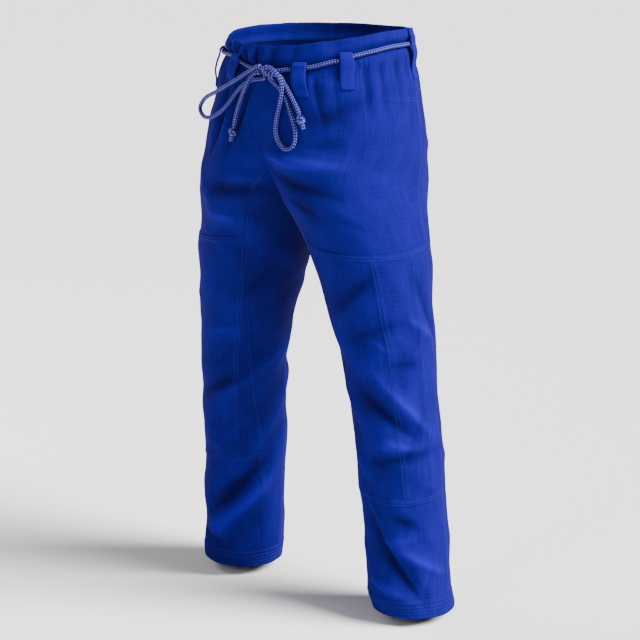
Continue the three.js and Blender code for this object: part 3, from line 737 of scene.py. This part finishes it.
def bowKnot():
    # Short strands that cross between the cords' ends, and one turn of cord round them.
    middle = np.array(knot["middle"], float)
    strands = [(("loopOut", -1), ("loopOut", 1), (0, -4, 3)), (("tail", -1), ("loopBack", 1), (0, -1, -2)),
               (("tail", 1), ("loopBack", -1), (0, -3, -3)), (("waist", -1), ("waist", 1), (0, 3, 1))]
    tubes = []
    for start, end, via in strands:
        a, b = knotWay(*start), knotWay(*end)
        reach = knot["reach"] + 1.2
        route, length = smoothRoute([middle + a * reach, middle + via + a * 3,
                                     middle + via + b * 3, middle + b * reach], 1.0)
        tubes.append(tubeArrays(route, 3.4, 16, (0.1, -0.3, 1)))
    t = np.linspace(-0.6, 2 * np.pi + 0.5, 70)
    turn = middle + np.stack([1.8 * t / np.pi - 1.8, -5.6 * np.cos(t), 6.0 * np.sin(t)], axis=-1)
    tubes.append(tubeArrays(turn, 3.3, 16, turn - middle))
    finishPiece(tubePiece("drawcord_knot", tubes), "drawcord_knot", ropeBraid)

makeCords()
bowKnot()
print("drawcord made")


# Sewing: every stitch is a short hump of thread; they are joined in a few meshes.
stitch = {"pitch": 3.4, "length": 2.6, "wide": 0.38, "high": 0.42}
sewing = {}  # the stitches of each group, as arrays of points
stitchShape = np.array([(-0.5, 0, -0.4), (-0.3, -1, 0), (-0.3, 0, 1), (-0.3, 1, 0), (-0.3, 0, -0.8),
                        (0.3, -1, 0), (0.3, 0, 1), (0.3, 1, 0), (0.3, 0, -0.8), (0.5, 0, -0.4)])
stitchFaces = np.array([(0, 1, 2), (0, 2, 3), (0, 3, 4), (0, 4, 1), (1, 5, 6), (1, 6, 2), (2, 6, 7),
                        (2, 7, 3), (3, 7, 8), (3, 8, 4), (4, 8, 5), (4, 5, 1), (9, 6, 5), (9, 7, 6),
                        (9, 8, 7), (9, 5, 8)])

def sew(group, line, normals):
    # Even stitches along a line of points, lying on the cloth and facing its normal.
    along = np.r_[0, np.cumsum(np.linalg.norm(np.diff(line, axis=0), axis=1))]
    count = int(along[-1] / stitch["pitch"])
    if count < 1:
        return
    centre = (np.arange(count) + 0.5) * along[-1] / count
    at = lambda s, array: np.stack([np.interp(s, along, array[:, k]) for k in range(3)], axis=-1)
    here = at(centre, line)
    way = unit(at(centre + 1, line) - at(centre - 1, line) + 1e-9)
    up = unit(at(centre, normals))
    across = unit(np.cross(up, way))
    shape = stitchShape * (stitch["length"], stitch["wide"], stitch["high"])
    points = (here[:, None] + shape[None, :, :1] * way[:, None] + shape[None, :, 1:2] * across[:, None]
              + shape[None, :, 2:] * up[:, None])
    sewing.setdefault(group, []).append(points)

def makeStitches():
    # Each stitch repeats the hump's faces, counted on by its number of points.
    for group, parts in sewing.items():
        points = np.concatenate(parts)
        faces = stitchFaces[None] + len(stitchShape) * np.arange(len(points))[:, None, None]
        faces = faces.reshape(-1, 3)
        piece = fillMesh(f"stitching_{group}", points.reshape(-1, 3), np.full(len(faces), 3),
                         faces.ravel(), np.ones(len(faces), bool))
        finishPiece(piece, None, blueThread)
        print("stitches", group, len(points), "triangles", len(faces))

def sewOnForm(group, side, angle, z, lift=threadLift):
    # A row of stitches where the angle and height are given along it; the normal is the cross
    # product of the form's two directions there.
    angle, z = np.broadcast_arrays(np.asarray(angle, float), np.asarray(z, float))
    here = formPoints(side, angle, z, lift)
    onward = formPoints(side, angle + 0.6, z, lift)
    lower = formPoints(side, angle, z - 1.0, lift)
    normals = np.cross(onward - here, lower - here)
    outward = formPoints(side, angle, z, lift + 2) - here
    normals *= np.sign((normals * outward).sum(-1, keepdims=True))
    sew(group, here, normals)

def arcAngle(z, distance):
    # The angle that a length makes round the form.
    return np.degrees(distance / sectionAt(z)[3])


# Panels of the legs and hips.
panel = {"rows": 272, "gatherShare": 0.19, "frontColumns": 104, "backColumns": 90, "gussetColumns": 40}

def panelHeights(side, angle, v):
    # Evenly spaced from the cord to the gathers' foot, and from there to the hem.
    bearing = angle if side == "left" else -angle
    top = readTable(cut["cord"], bearing) - 1.5
    share = panel["gatherShare"]
    foot = cut["gatherFoot"]
    upper = top + (foot - top) * (v / share)
    lower = foot + (cut["hemTop"] + cut["seamGap"] - foot) * (v - share) / (1 - share)
    return np.where(v < share, upper, lower)

def frontInner(side, z, lift):
    # The front's inner edge: the gusset's seam, and the middle plane above its tip.
    seam = readTable(cut["frontSeam"][side], z) + gapAngle(z)
    return np.where(z > cut["gussetTip"], middleAngle(z, lift), seam)

def backInner(side, z, lift):
    # The back's inner edge, in the same way.
    seam = readTable(cut["backSeam"], z) - gapAngle(z)
    return np.where(z > cut["gussetTip"], 180 - middleAngle(z, lift), seam)

def frontGrid(side, u, v, lift):
    # Angles run straight from the inner edge to the outseam.
    z = panelHeights(side, cut["outseam"] * u, v)
    angle = frontInner(side, z, lift) * (1 - u) + (cut["outseam"] - gapAngle(z)) * u
    return angle, z

def backGrid(side, u, v, lift):
    # Angles run straight from the outseam to the inner edge.
    z = panelHeights(side, cut["outseam"] + (180 - cut["outseam"]) * u, v)
    angle = (cut["outseam"] + gapAngle(z)) * (1 - u) + backInner(side, z, lift) * u
    return angle, z

def gussetGrid(side, u, v, tops):
    # Runs from the front seam to the back seam; its top is where the form meets the middle.
    z = tops + (cut["hemTop"] + cut["seamGap"] - tops) * v
    front = readTable(cut["frontSeam"][side], z) - gapAngle(z)
    back = readTable(cut["backSeam"], z) - 360 + gapAngle(z)
    return front * (1 - u) + back * u, z

def gussetTops(side, u):
    # Halving finds, for each column, the height at which it meets the middle plane.
    high = np.full_like(u, cut["gussetTip"] + 20.0)
    low = np.full_like(u, -300.0)
    for halving in range(30):
        z = (high + low) / 2
        angle = gussetGrid(side, u, 0, z)[0]
        out, aft, wide, deep = sectionAt(z)
        inside = out + wide * np.sin(np.radians(angle)) > cut["middleGap"] / 2
        low = np.where(inside, z, low)
        high = np.where(inside, high, z)
    return low

def seamWave(z):
    # Small even puckers that run along a sewn seam.
    return np.sin(z / 1.9 + 1.5 * np.sin(z / 23)) * (0.6 + 0.4 * np.sin(z / 41))

def stitchedAway(side, angle, z, lines):
    # Distance in mm from the nearest sewn line that the piece has.
    deep = sectionAt(z)[3]
    best = np.full(angle.shape, float(farOff))
    for line in lines:
        best = np.minimum(best, np.abs(line(angle, z, deep)))
    return best

hipLine = {"from": (72, -52), "to": (107, -63), "down": (99, 14, 108, -57)}  # angles and heights
veeLine = {"from": (-20, -173), "to": (2, -147)}
flyLine = {"angle": [-38, -19, -6, 2, 3], "z": [-174, -137, -112, -72, -20]}
seamOffset = 7.5  # a felled seam's centre lies this far inside the panel's edge

def alongAngle(table, shift):
    # Length round the form from a seam that the table gives, less a shift.
    return lambda angle, z, deep: np.radians(angle - readTable(table, z)) * deep - shift

def outseamLine(shift):
    # Length round the form from the outseam, less a shift.
    return lambda angle, z, deep: np.radians(angle - cut["outseam"]) * deep - shift

def levelLine(line):
    # Height above a straight line from one angle and height to another.
    (fromAngle, fromZ), (toAngle, toZ) = line["from"], line["to"]
    def away(angle, z, deep):
        share = (angle - fromAngle) / (toAngle - fromAngle)
        return np.where((share < 0) | (share > 1), farOff, z - fromZ - (toZ - fromZ) * share)
    return away

def flyAway(angle, z, deep):
    # Length round the form from the bent fly seam, which ends at the gusset's tip.
    bend = readTable((flyLine["z"], flyLine["angle"]), z)
    return np.radians(angle - bend) * deep * 0.95 + np.where(z < cut["gussetTip"], farOff, 0)

def arcAway(angle, seam, deep):
    # Length round the form from a seam, never negative.
    return np.abs(np.radians(angle - seam)) * deep

def panelPiece(name, side, grid, columns, lines, edges):
    # The form's points on an even grid, outside and inside the cloth, with small puckers that
    # fade as an exponential of the distance from the panel's edges.
    v, u = evenGrid(panel["rows"], columns)
    layers = []
    for lift in (0, -cut["panelCloth"]):
        angle, z = grid(side, u, v, lift)
        near = edges(angle, z, sectionAt(z)[3])
        pucker = 0.55 * seamWave(z) * np.exp(-near / 7.0) * smoothStep(z, -900, -880)
        layers.append(formPoints(side, angle, z, lift, pucker))
        if lift == 0:
            # foldShade carries the painted shade and painted highlight of the folds into the colour.
            values = {"seamAway": stitchedAway(side, angle, z, lines),
                      "foldShade": foldShade(side, angle, z)}
    piece = wallPiece(name, layers[0], layers[1], clothPlan(layers[0]), values)
    finishPiece(piece, name, panelDrill)

def makePanels(side):
    # Front, back and gusset of one side; edges give the distance to the nearer long seam.
    frontSeam, backSeam = cut["frontSeam"][side], cut["backSeam"]
    tops = gussetTops(side, np.linspace(0, 1, panel["gussetColumns"]))

    def frontEdges(angle, z, deep):
        inner = np.where(z < -170, arcAway(angle, readTable(frontSeam, z), deep), farOff)
        return np.minimum(arcAway(angle, cut["outseam"], deep), inner)

    def backEdges(angle, z, deep):
        return np.minimum(arcAway(angle, cut["outseam"], deep),
                          arcAway(angle, readTable(backSeam, z), deep))

    def gussetEdges(angle, z, deep):
        return np.minimum(arcAway(angle, readTable(frontSeam, z), deep),
                          arcAway(angle, readTable(backSeam, z) - 360, deep))

    def gussetRows(side, u, v, lift):
        return gussetGrid(side, u, v, tops[None, :] + 0 * v)

    frontLines = [alongAngle(frontSeam, seamOffset), outseamLine(-seamOffset), levelLine(hipLine),
                  levelLine(veeLine) if side == "left" else flyAway]
    panelPiece(f"front_{side}", side, frontGrid, panel["frontColumns"], frontLines, frontEdges)
    panelPiece(f"back_{side}", side, backGrid, panel["backColumns"],
               [alongAngle(backSeam, -seamOffset)], backEdges)
    panelPiece(f"gusset_{side}", side, gussetRows, panel["gussetColumns"], [], gussetEdges)

def sewLine(side, line, off):
    # Stitches along a straight line from one angle and height to another, moved up by off.
    share = np.linspace(0, 1, 60)
    (a, za), (b, zb) = line["from"], line["to"]
    sewOnForm("waist", side, a + (b - a) * share, za + (zb - za) * share + off)

def sewPanels(side):
    # Two rows beside each long seam, then the short ones over the hip, down it and at the fly.
    z = np.linspace(cut["hemTop"], cut["gussetTip"], 500)
    allZ = np.linspace(cut["hemTop"], -8, 600)
    upperZ = np.linspace(cut["gussetTip"], 0, 120)
    for off in (seamOffset - rowOff, seamOffset + rowOff):
        sewOnForm(side, side, readTable(cut["frontSeam"][side], z) + arcAngle(z, off), z)
        sewOnForm(side, side, readTable(cut["backSeam"], z) - arcAngle(z, off), z)
        sewOnForm(side, side, cut["outseam"] - arcAngle(allZ, off), allZ)
        sewOnForm(side, side, 180 - middleAngle(upperZ, 0) - arcAngle(upperZ, off), upperZ)
    for off in (-rowOff, rowOff):
        sewLine(side, hipLine, off)
        share = np.linspace(0, 1, 60)
        a, za, b, zb = hipLine["down"]
        sewOnForm("waist", side, a + (b - a) * share + arcAngle(-20.0, off), za + (zb - za) * share)
        if side == "right":
            h = np.linspace(-174, -20, 120)
            sewOnForm("waist", side, readTable((flyLine["z"], flyLine["angle"]), h) + arcAngle(h, off), h)
        else:
            sewLine(side, veeLine, off)

for side in ("left", "right"):
    makePanels(side)
    sewPanels(side)
    print("panels", side)


# Knee patches: a second layer on the front panel, with stitched ends and a middle line.
patch = {
    "top": {"left": -289, "right": -298}, "bottom": -730, "endsRise": 10, "sag": 11,
    "cloth": 1.3, "inset": 0.02, "middle": {"left": 42, "right": -30}, "outer": 82,
    "endSeam": 6.0, "rows": 180, "columns": 88,
}

def patchEnds(side, u):
    # Both ends hang lower in the middle, by a parabola across the patch.
    outward = (2 * u - 1)**2
    return patch["top"][side] - patch["sag"] * (1 - outward), patch["bottom"] + patch["endsRise"] * outward

def patchAngles(side, u, z):
    # Straight from the front seam to the outseam, a little inside both.
    across = patch["inset"] + (1 - 2 * patch["inset"]) * u
    inner = readTable(cut["frontSeam"][side], z) + gapAngle(z)
    return inner * (1 - across) + (cut["outseam"] - gapAngle(z)) * across

def makePatch(side):
    # The panel's points moved out by the cloth, which thins at its edges, puffs up inside them
    # and puckers as a sine wave that fades from both stitched ends.
    v, u = evenGrid(patch["rows"], patch["columns"])
    top, bottom = patchEnds(side, u)
    z = top + (bottom - top) * v
    angle = patchAngles(side, u, z)
    edge = np.minimum(top - z, z - bottom)
    near = np.minimum(edge, np.minimum(u, 1 - u) * 200)
    puff = 0.9 * smoothStep(near, 7, 26)
    across = np.radians(angle) * sectionAt(z)[3]
    pucker = 0.35 * (1 + np.sin(across / 2.1 + 1.4 * np.sin(across / 13))) * np.exp(-edge / 9.0)
    cloth = patch["cloth"] * (0.08 + 0.92 * smoothStep(near, 0, 6))
    outer = formPoints(side, angle, z, cut["seamGap"] + cloth, puff + pucker)
    inner = formPoints(side, angle, z, cut["seamGap"])
    upright = (patch["middle"][side], patch["outer"])
    lines = [lambda a, h, deep: edge - patch["endSeam"],
             lambda a, h, deep: np.radians(a - upright[0]) * deep,
             lambda a, h, deep: np.radians(a - upright[1]) * deep]
    # foldShade carries the painted shade and painted highlight of the folds into the colour.
    values = {"seamAway": stitchedAway(side, angle, z, lines), "foldShade": foldShade(side, angle, z)}
    piece = wallPiece(f"knee_patch_{side}", outer, inner, clothPlan(outer), values)
    finishPiece(piece, f"knee_patch_{side}", patchDrill)
    line = np.linspace(0.005, 0.995, 120)
    high, low = patchEnds(side, line)
    lift = cut["seamGap"] + patch["cloth"] + threadLift
    for off in (patch["endSeam"] - rowOff, patch["endSeam"] + rowOff):
        sewOnForm(side, side, patchAngles(side, line, high - off), high - off, lift)
        sewOnForm(side, side, patchAngles(side, line, low + off), low + off, lift)
    h = np.linspace(patch["bottom"] + 12, patch["top"][side] - 24, 300)
    for off in (-rowOff, rowOff):
        for at in upright:
            sewOnForm(side, side, at + arcAngle(h, off), h, lift + 0.9)

for side in ("left", "right"):
    makePatch(side)
print("knee patches made")


# Hems: the turned-up end of each leg, with rows of stitching all round.
hem = {
    "rows": 26, "columns": 220, "cloth": 3.0, "proud": 0.6, "roundOff": 0.9,
    "stitchRows": [4, 10, 16, 22, 30],  # up from the bottom
}

def makeHem(side):
    # A ring of cloth round the form, rounded off at the fold below, with a slow sine ripple.
    share = np.linspace(0, 1, hem["rows"])
    outerZ = cut["hemTop"] + (cut["hemBottom"] - cut["hemTop"]) * share
    v, a = np.meshgrid(outerZ, np.linspace(0, 360, hem["columns"], endpoint=False), indexing="ij")
    roundOff = hem["roundOff"] * (1 - smoothStep(v, cut["hemBottom"], cut["hemBottom"] + 3.5))
    low = smoothStep(-v, -cut["hemTop"] - 5, -cut["hemBottom"])
    ripple = 0.5 * np.sin(np.radians(a) * 9 + 1.2) * low
    proud = hem["proud"] * smoothStep(cut["hemTop"] - v, 0, 2.5)
    outer = formPoints(side, a, v, proud - roundOff, ripple)
    inner = formPoints(side, a, v, hem["proud"] - hem["cloth"] + roundOff, ripple)
    rows = np.array(hem["stitchRows"]) + cut["hemBottom"]
    nearest = np.abs(v[..., None] - rows).min(-1)
    # foldShade carries the painted shade and painted highlight of the folds into the colour.
    values = {"seamAway": np.where(nearest < 3, nearest + rowOff, 3 + rowOff),
              "foldShade": foldShade(side, a, v)}
    closed = np.concatenate([outer, outer[:, :1]], axis=1)
    piece = wallPiece(f"hem_{side}", outer, inner, clothPlan(closed), values, ringed=True)
    finishPiece(piece, f"hem_{side}", bandDrill)
    for row in rows:
        sewOnForm(side, side, np.linspace(0, 360, 400), float(row), hem["proud"] + threadLift)

for side in ("left", "right"):
    makeHem(side)
print("hems made")


# Waistband: one folded strip joined at the front, round and full above the cord.
band = {"columns": 560, "around": 40, "cloth": 4.0, "full": 2.5, "gap": 0.3}
bandCreases = [  # bearing, width in degrees, how far it stands or dips, how much of it leans
    (-4.5, 1.7, -5.0, 3), (-8.5, 2.2, 3.0, -4), (-13, 1.9, -4.2, 6), (-18, 2.6, 2.6, -5),
    (-23, 2.0, -4.4, -6), (-28, 2.6, 2.8, 4), (-33, 2.0, -4.4, 5), (-40, 3.0, 2.6, 3),
    (-46, 2.4, -3.6, -5), (3, 2.0, 2.4, 2), (7, 2.2, -2.0, -3), (13, 4.0, 1.4, 3), (20, 3.0, -1.6, -3),
    (38, 5, 1.4, 4), (47, 4, -1.4, 3), (66, 7, -0.9, 4), (125, 6, -1.0, 3), (150, 6, 0.9, -4),
    (-150, 6, -1.0, 4), (-100, 6, 0.9, 3),
]

def bandCrease(turned, share):
    # A bell curve across each crease, which leans from the rim to the cord.
    crease = np.zeros_like(turned)
    for at, width, height, lean in bandCreases:
        crease += height * np.exp(-((turned - at - lean * (share - 0.5)) / width)**2)
    return crease

def bandShape(bearing, share, lift):
    # From rim to cord by share; each crease moves the band out, and its rim up too.
    turned = wrap(bearing)
    rim = readTable(cut["rim"], turned)
    low = readTable(cut["cord"], turned) - 1
    crease = bandCrease(turned, share)
    mid = np.sin(np.pi * np.clip(share, 0, 1))**2
    height = rim + (low - rim) * share + crease * 0.7 * (1 - share)
    return waistPoints(bearing, height, lift + crease * (0.35 + 0.5 * mid))

def makeBand():
    # Across its profile the strip runs up the outside, over the fold and down the inside: a
    # quarter circle at the fold, and a squared sine for its fullness.
    t = np.linspace(0, 1, band["around"], endpoint=False)
    outside = t < 0.5
    share = np.where(outside, 1 - 2 * t, 2 * t - 1)
    fold = np.clip(share / 0.085, 0, 1)
    roundOff = np.sqrt(np.clip(1 - (1 - fold)**2, 0, 1))
    half = band["cloth"] / 2
    lift = np.where(outside, 1 - half + half * roundOff + band["full"] * np.sin(np.pi * share)**2,
                    1 - half - half * roundOff)
    gap = math.degrees(band["gap"] / 2 / form["deep"][-1])
    b, s = np.meshgrid(np.linspace(gap, 360 - gap, band["columns"]), share, indexing="ij")
    start = smoothStep(-b, -7, 0) * 1.3 - smoothStep(b, 353, 360) * 1.5
    grid = bandShape(b, s, lift + start)
    plan = np.stack([np.radians(b) * waistRadius, grid[..., 2]], axis=-1)
    out = np.broadcast_to(outside, b.shape)
    # foldShade on the outside is painted shade in creases that dip and painted highlight on those that
    # stand.
    values = {"seamAway": np.where(out, farOff, np.abs((1 - s) * 25 - 3) + rowOff),
              "foldShade": np.clip(bandCrease(wrap(b), s) / 6, -1, 1) * out}
    finishPiece(profilePiece("waistband", grid, plan, values), "waistband", bandDrill)
    print("waistband made")

makeBand()


# Belt loops: straps sewn down at the foot that pass over the cord.
strap = {"cloth": 2.4, "around": 28}

def loopPath(bearing, foot, belly, stand, top):
    # Side view from the foot up: sewn flat, out over the cord and in against the band.
    cordZ = float(readTable(cut["cord"], bearing))
    tall = float(readTable(cut["rim"], bearing)) - cordZ + 1
    lying = cut["seamGap"] + strap["cloth"]
    onBand = lambda rise: 1 + band["full"] * math.sin(math.pi * (tall - rise - 1) / tall)**2 + lying
    mixed = lambda a, b, t: a + (b - a) * t
    path = [(foot, lying), (foot + 9, lying), (foot / 2, belly), (-9, mixed(belly, stand, 0.8)),
            (-3, stand), (3.5, stand)]
    if top == "cord":
        path += [(7, mixed(onBand(7), stand, 0.72)), (9.2, onBand(9) + 1.5), (10, onBand(10) - 1.6)]
    else:
        path += [(9, mixed(onBand(9), stand, 0.7)), (16, onBand(16) + 1.2), (tall - 1, onBand(tall - 1))]
    return [(0, lift, cordZ + rise) for rise, lift in path]

def makeLoops():
    # A rounded flat section carried along the strap's side view, then bent round the form.
    for name, (bearing, wide, foot, belly, stand, top) in loops.items():
        path, length = smoothRoute(loopPath(bearing, foot, belly, stand, top), 1.0)
        way = unit(np.gradient(path, axis=0))
        t = np.linspace(0, 2 * np.pi, strap["around"], endpoint=False)
        halfWide, half = wide / 2, strap["cloth"] / 2
        across = halfWide * np.sign(np.cos(t)) * np.abs(np.cos(t))**0.28
        thick = half * np.sign(np.sin(t)) * np.abs(np.sin(t))**0.5
        edge = np.abs(across) / halfWide
        across = across[None, :] * (1 - 0.02 * np.sin(np.linspace(0, 9, len(path))))[:, None]
        z = path[:, 2:] + way[:, 1:2] * (half - thick)[None, :]
        lift = path[:, 1:2] - way[:, 2:] * (half - thick)[None, :] - 0.35 * (edge**6)[None, :]
        side = "left" if bearing > 0 else "right"
        grid = formPoints(side, abs(bearing) + np.degrees(across / waistRadius), z, lift)
        steps = np.linalg.norm(np.diff(path, axis=0), axis=1)
        along = np.broadcast_to(np.r_[0, np.cumsum(steps)][:, None], z.shape)
        piece = profilePiece(name, grid, np.stack([across, along], axis=-1),
                             {"seamAway": np.abs(along - 6.5) + rowOff})
        finishPiece(piece, name, strapDrill)
        line = np.linspace(-0.9, 0.9, 14) * halfWide
        for up in (5.0, 8.2):
            sewOnForm("waist", side, abs(bearing) + np.degrees(line / waistRadius),
                      float(path[0, 2]) + up, cut["seamGap"] + strap["cloth"] + threadLift)
    print("belt loops made")

makeLoops()
makeStitches()


# Studio: pale floor, broad soft lights and a pale world.
studio = {
    "floorZ": -0.948, "world": 0.13, "floorReach": 24, "lampLevel": -0.4,
    "sun": {"azimuth": 108, "height": 40, "strength": 13, "soft": 30},
    "lights": [  # name, azimuth and height in degrees, distance, size, watts
        ("front", 5, 20, 3.2, 1.2, 30), ("rimRight", -80, 25, 2.6, 1.0, 24),
    ],
}

def lampAt(name, kind, strength, turn):
    # A lamp of a kind, turned to shine the way that its two angles give.
    data = bpy.data.lights.new(name, kind)
    data.energy = strength
    lamp = bpy.data.objects.new(name, data)
    lamp.rotation_euler = turn
    bpy.context.collection.objects.link(lamp)
    return lamp, data

def makeStudio():
    # A square floor; lamps stand on circles round the object by azimuth, height and distance.
    floor = bpy.data.meshes.new("studioFloor")
    reach, low = studio["floorReach"], studio["floorZ"]
    floor.from_pydata([(-reach, -reach, low), (reach, -reach, low), (reach, reach, low),
                       (-reach, reach, low)], [], [(0, 1, 2, 3)])
    piece = bpy.data.objects.new("studioFloor", floor)
    bpy.context.collection.objects.link(piece)
    material, tree, shader = newMaterial("palePaper")
    shader.inputs["Base Color"].default_value = (0.86, 0.86, 0.86, 1)
    shader.inputs["Roughness"].default_value = 0.9
    floor.materials.append(material)
    world = bpy.data.worlds.new("paleRoom")
    world.use_nodes = True
    background = world.node_tree.nodes["Background"]
    background.inputs["Color"].default_value = (1, 1, 1, 1)
    background.inputs["Strength"].default_value = studio["world"]
    bpy.context.scene.world = world
    sun = studio["sun"]
    turn = (math.radians(90 - sun["height"]), 0, math.radians(sun["azimuth"]))
    lamp, data = lampAt("sun", "SUN", sun["strength"], turn)
    data.angle = math.radians(sun["soft"])
    for name, azimuth, height, away, size, watts in studio["lights"]:
        a, h = math.radians(azimuth), math.radians(height)
        lamp, data = lampAt(name, "AREA", watts, (math.pi / 2 - h, 0, a))
        data.size = size
        lamp.location = (away * math.sin(a) * math.cos(h), -away * math.cos(a) * math.cos(h),
                         studio["lampLevel"] + away * math.sin(h))
    print("studio made")

makeStudio()
